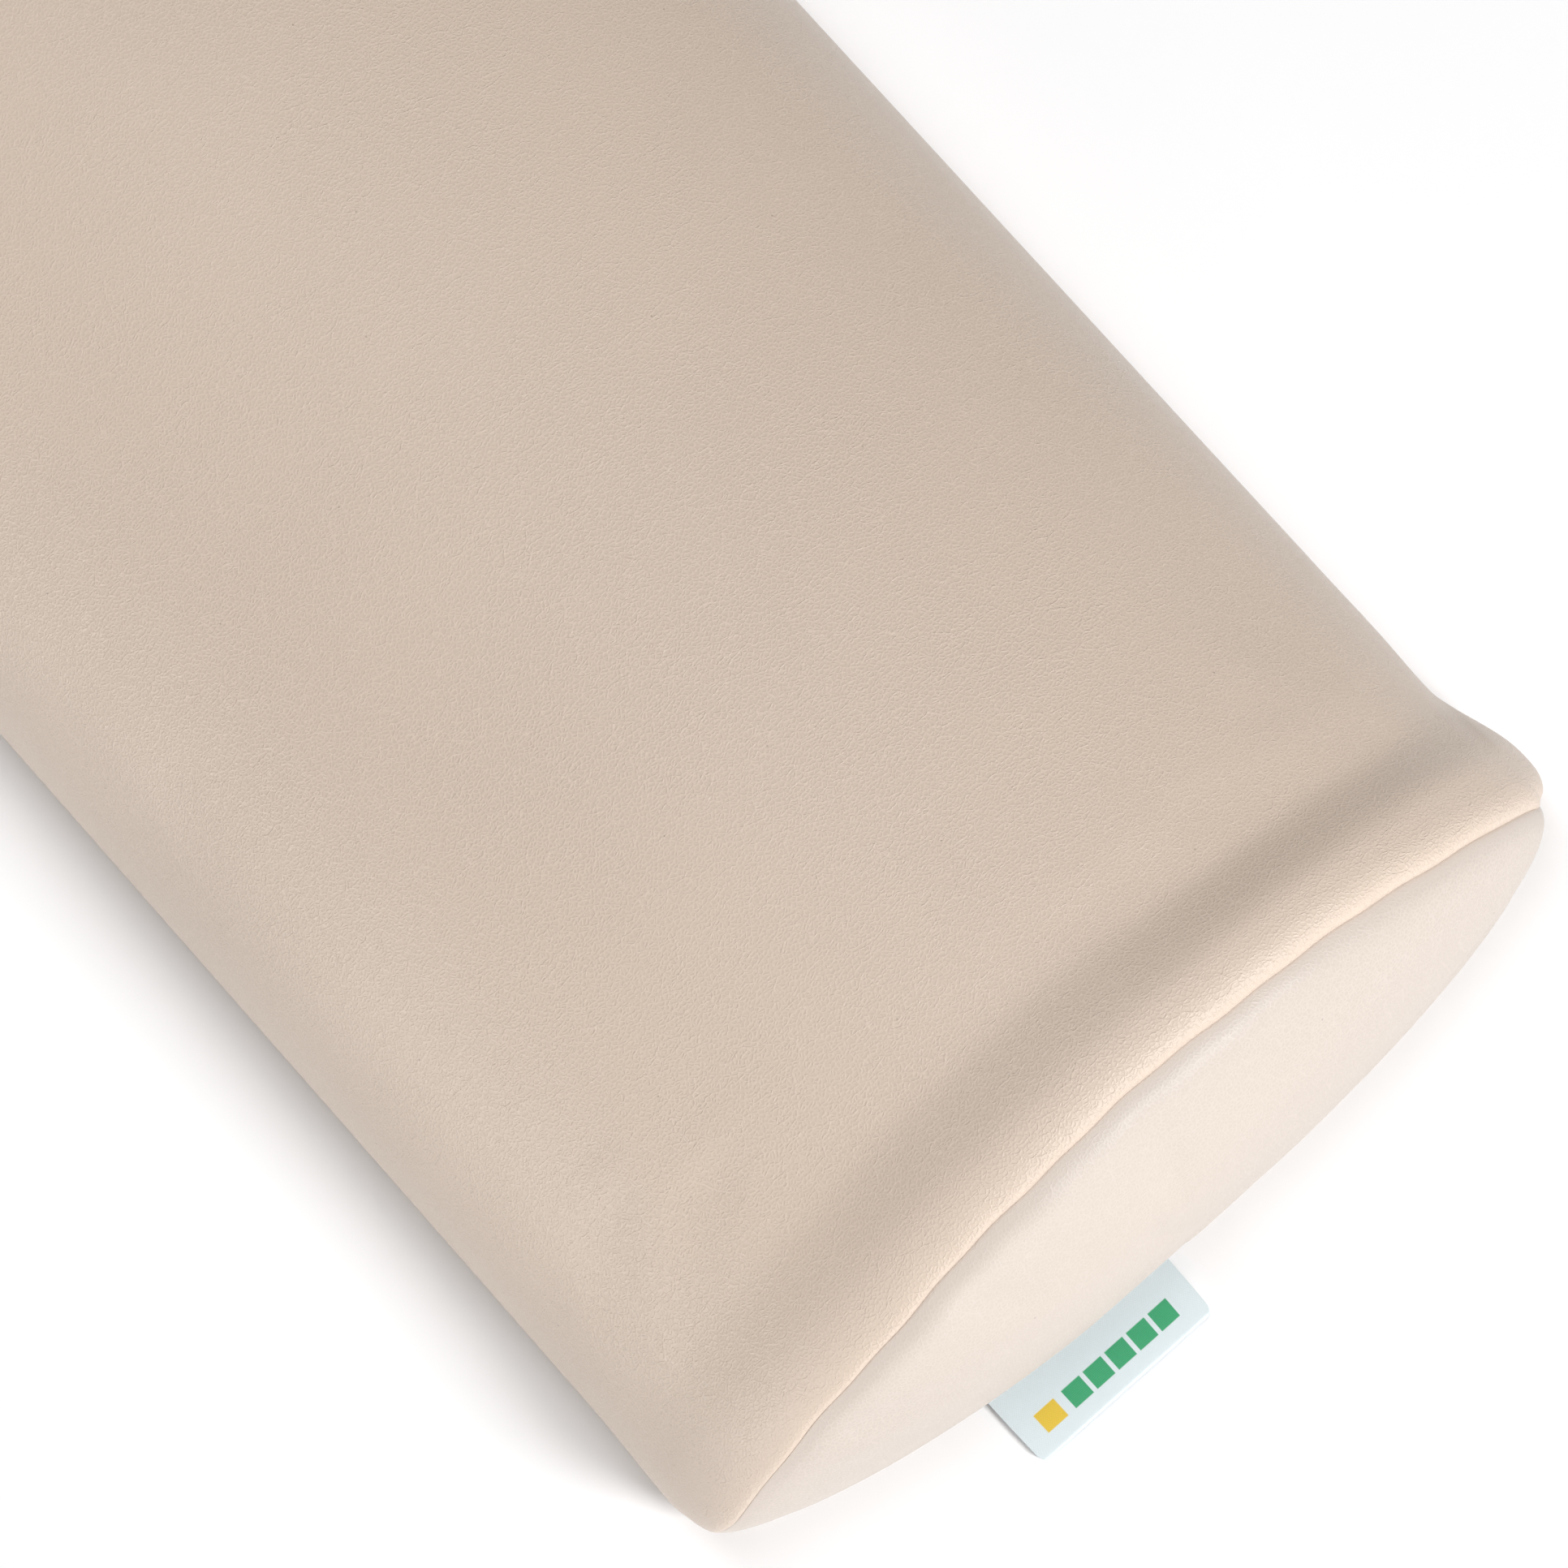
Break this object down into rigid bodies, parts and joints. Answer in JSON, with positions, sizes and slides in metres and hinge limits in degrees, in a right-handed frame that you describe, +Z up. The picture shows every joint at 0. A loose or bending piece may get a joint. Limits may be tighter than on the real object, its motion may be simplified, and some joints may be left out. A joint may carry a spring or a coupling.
{
  "type": "lumbar support cushion",
  "caption": "Arched lumbar support cushion: flat base, smooth leatherette cover over a foam block, domed end panels, zip in a recess under the base and a folded ribbon label.",
  "frame": {"origin": "centre of the flat base, between the two end seams, on the surface the cushion rests on", "axes": "+X along the cushion towards the labelled end, +Y across it towards the zip's side, +Z up out of the base through the arch"},
  "size_m": [0.45, 0.2, 0.08],
  "materials": {
    "leatherette": "fine pebbled grain, soft semi-matte",
    "foam": "open-cell polyurethane foam, matte",
    "thread": "twisted polyester",
    "zip_tape": "woven polyester tape",
    "zip_coil": "nylon monofilament",
    "zip_metal": "nickel-plated zinc, softly polished",
    "label_ribbon": "satin ribbon"
  },
  "bodies": {
    "cushion": {"cover_wrap": "leatherette", "end_panel_right": "leatherette", "end_panel_left": "leatherette", "foam_core": "foam", "end_seam_thread_right": "thread", "end_seam_thread_left": "thread", "zip_tape_rear": "zip_tape", "zip_tape_front": "zip_tape", "zip_coil_rear": "zip_coil", "zip_coil_front": "zip_coil", "zip_top_stop_rear": "zip_metal", "zip_top_stop_front": "zip_metal", "zip_bottom_stop": "zip_metal", "zip_seam_thread_rear": "thread", "zip_seam_thread_front": "thread", "loop_label": "label_ribbon"},
    "slider": {"zip_slider": "zip_metal"},
    "puller": {"zip_puller": "zip_metal"}
  },
  "joints": [
    {"name": "zip_slide", "type": "slide", "parent": "cushion", "child": "slider", "axis": [1, 0, 0], "range_m": [0, 0.286]},
    {"name": "puller_swing", "type": "hinge", "parent": "slider", "child": "puller", "pos_m": [-0.143, 0.05, 0.0046], "axis": [0, 1, 0], "range_deg": [0, 180]}
  ]
}
